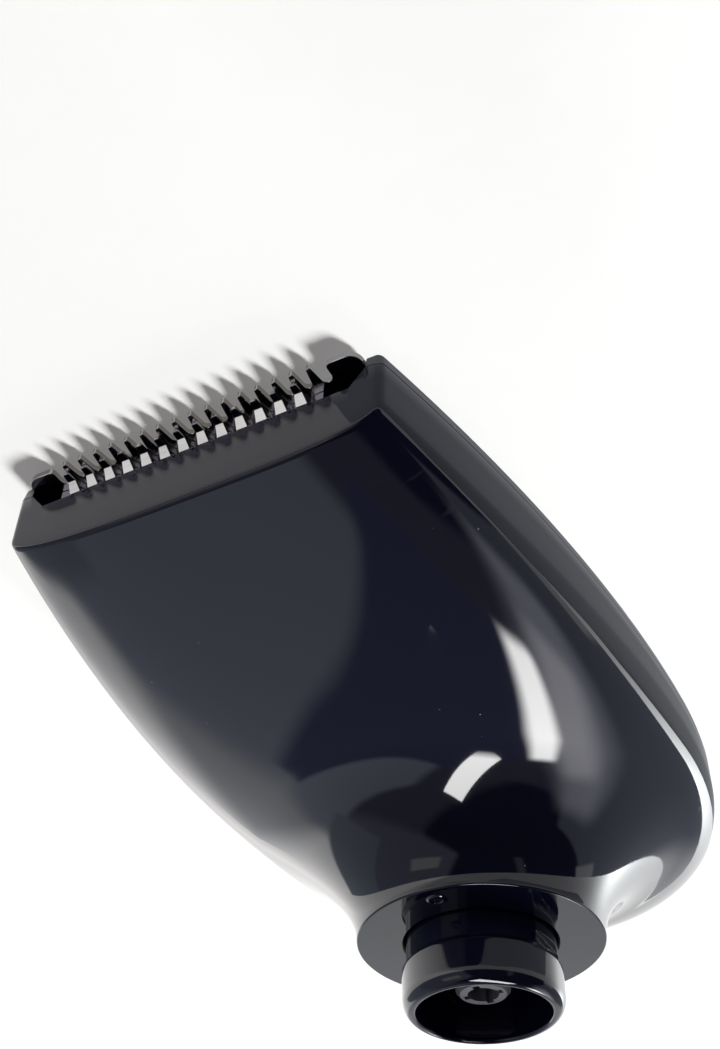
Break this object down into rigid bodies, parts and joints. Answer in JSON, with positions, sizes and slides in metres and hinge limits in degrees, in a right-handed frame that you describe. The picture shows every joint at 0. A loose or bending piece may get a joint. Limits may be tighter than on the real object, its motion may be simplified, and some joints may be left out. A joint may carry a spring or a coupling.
{
  "type": "clip-on groomer head",
  "caption": "Clip-on trimmer head: glossy spade-shaped housing with a flared neck and snap-in drive spigot, and a toothed cutter sliding over a fixed comb.",
  "frame": {"origin": "centre of the flange face that seats on the handle, on the coupling axis", "axes": "+Z out of the spigot along the coupling axis, -Y towards the teeth, X along the cutter's stroke"},
  "size_m": [0.042, 0.0763, 0.0241],
  "materials": {
    "housing_gloss": "mirror-polished navy black, fine dust and hairline scratches",
    "collar_gloss": "polished navy black",
    "comb_steel": "ground blade steel, bright edges",
    "cutter_steel": "fine ground grey steel",
    "spring_steel": "blued spring steel strip",
    "pin_steel": "ground and polished",
    "screw_steel": "zinc plated",
    "bush_bronze": "sintered bronze",
    "seal_rubber": "soft black elastomer",
    "frame_plastic": "dark grey moulded",
    "socket_plastic": "satin dark grey",
    "slide_plastic": "natural low-friction plastic",
    "lever_plastic": "natural white acetal"
  },
  "bodies": {
    "head": {"upper_housing": "housing_gloss", "coupling_collar": "collar_gloss", "lower_cover": "housing_gloss", "fixed_blade": "comb_steel", "blade_spring": "spring_steel", "blade_screws": "screw_steel", "bearing_frame": "frame_plastic", "frame_screws": "screw_steel", "upper_bush": "bush_bronze", "lower_bush": "bush_bronze", "hair_seal": "seal_rubber", "thrust_washer": "pin_steel", "pivot_pin": "pin_steel", "pivot_washer": "pin_steel"},
    "drive": {"drive_socket": "socket_plastic", "drive_shaft": "pin_steel", "retaining_clip": "spring_steel", "drive_cam": "socket_plastic"},
    "slide": {"slide_block": "slide_plastic"},
    "lever": {"rocker_lever": "lever_plastic", "lever_pin": "pin_steel"},
    "cutter": {"moving_cutter": "cutter_steel", "cutter_block": "frame_plastic"}
  },
  "joints": [
    {"name": "drive_spin", "type": "hinge", "parent": "head", "child": "drive", "pos_m": [0, 0, 0], "axis": [0, 0, 1], "continuous": true},
    {"name": "slide_turn", "type": "hinge", "parent": "drive", "child": "slide", "pos_m": [-0.0004, 0, -0.0146], "axis": [0, 0, 1], "continuous": true},
    {"name": "lever_swing", "type": "hinge", "parent": "head", "child": "lever", "pos_m": [0, -0.0145, 0], "axis": [0, 0, 1], "range_deg": [-3.16, 0]},
    {"name": "cutter_slide", "type": "slide", "parent": "head", "child": "cutter", "axis": [1, 0, 0], "range_m": [-0.00167, 0]}
  ],
  "couplings": [
    {"joint": "slide_turn", "follows": "drive_spin", "ratio": -1},
    {"joint": "cutter_slide", "follows": "lever_swing", "m_per_rad": 0.0301}
  ]
}
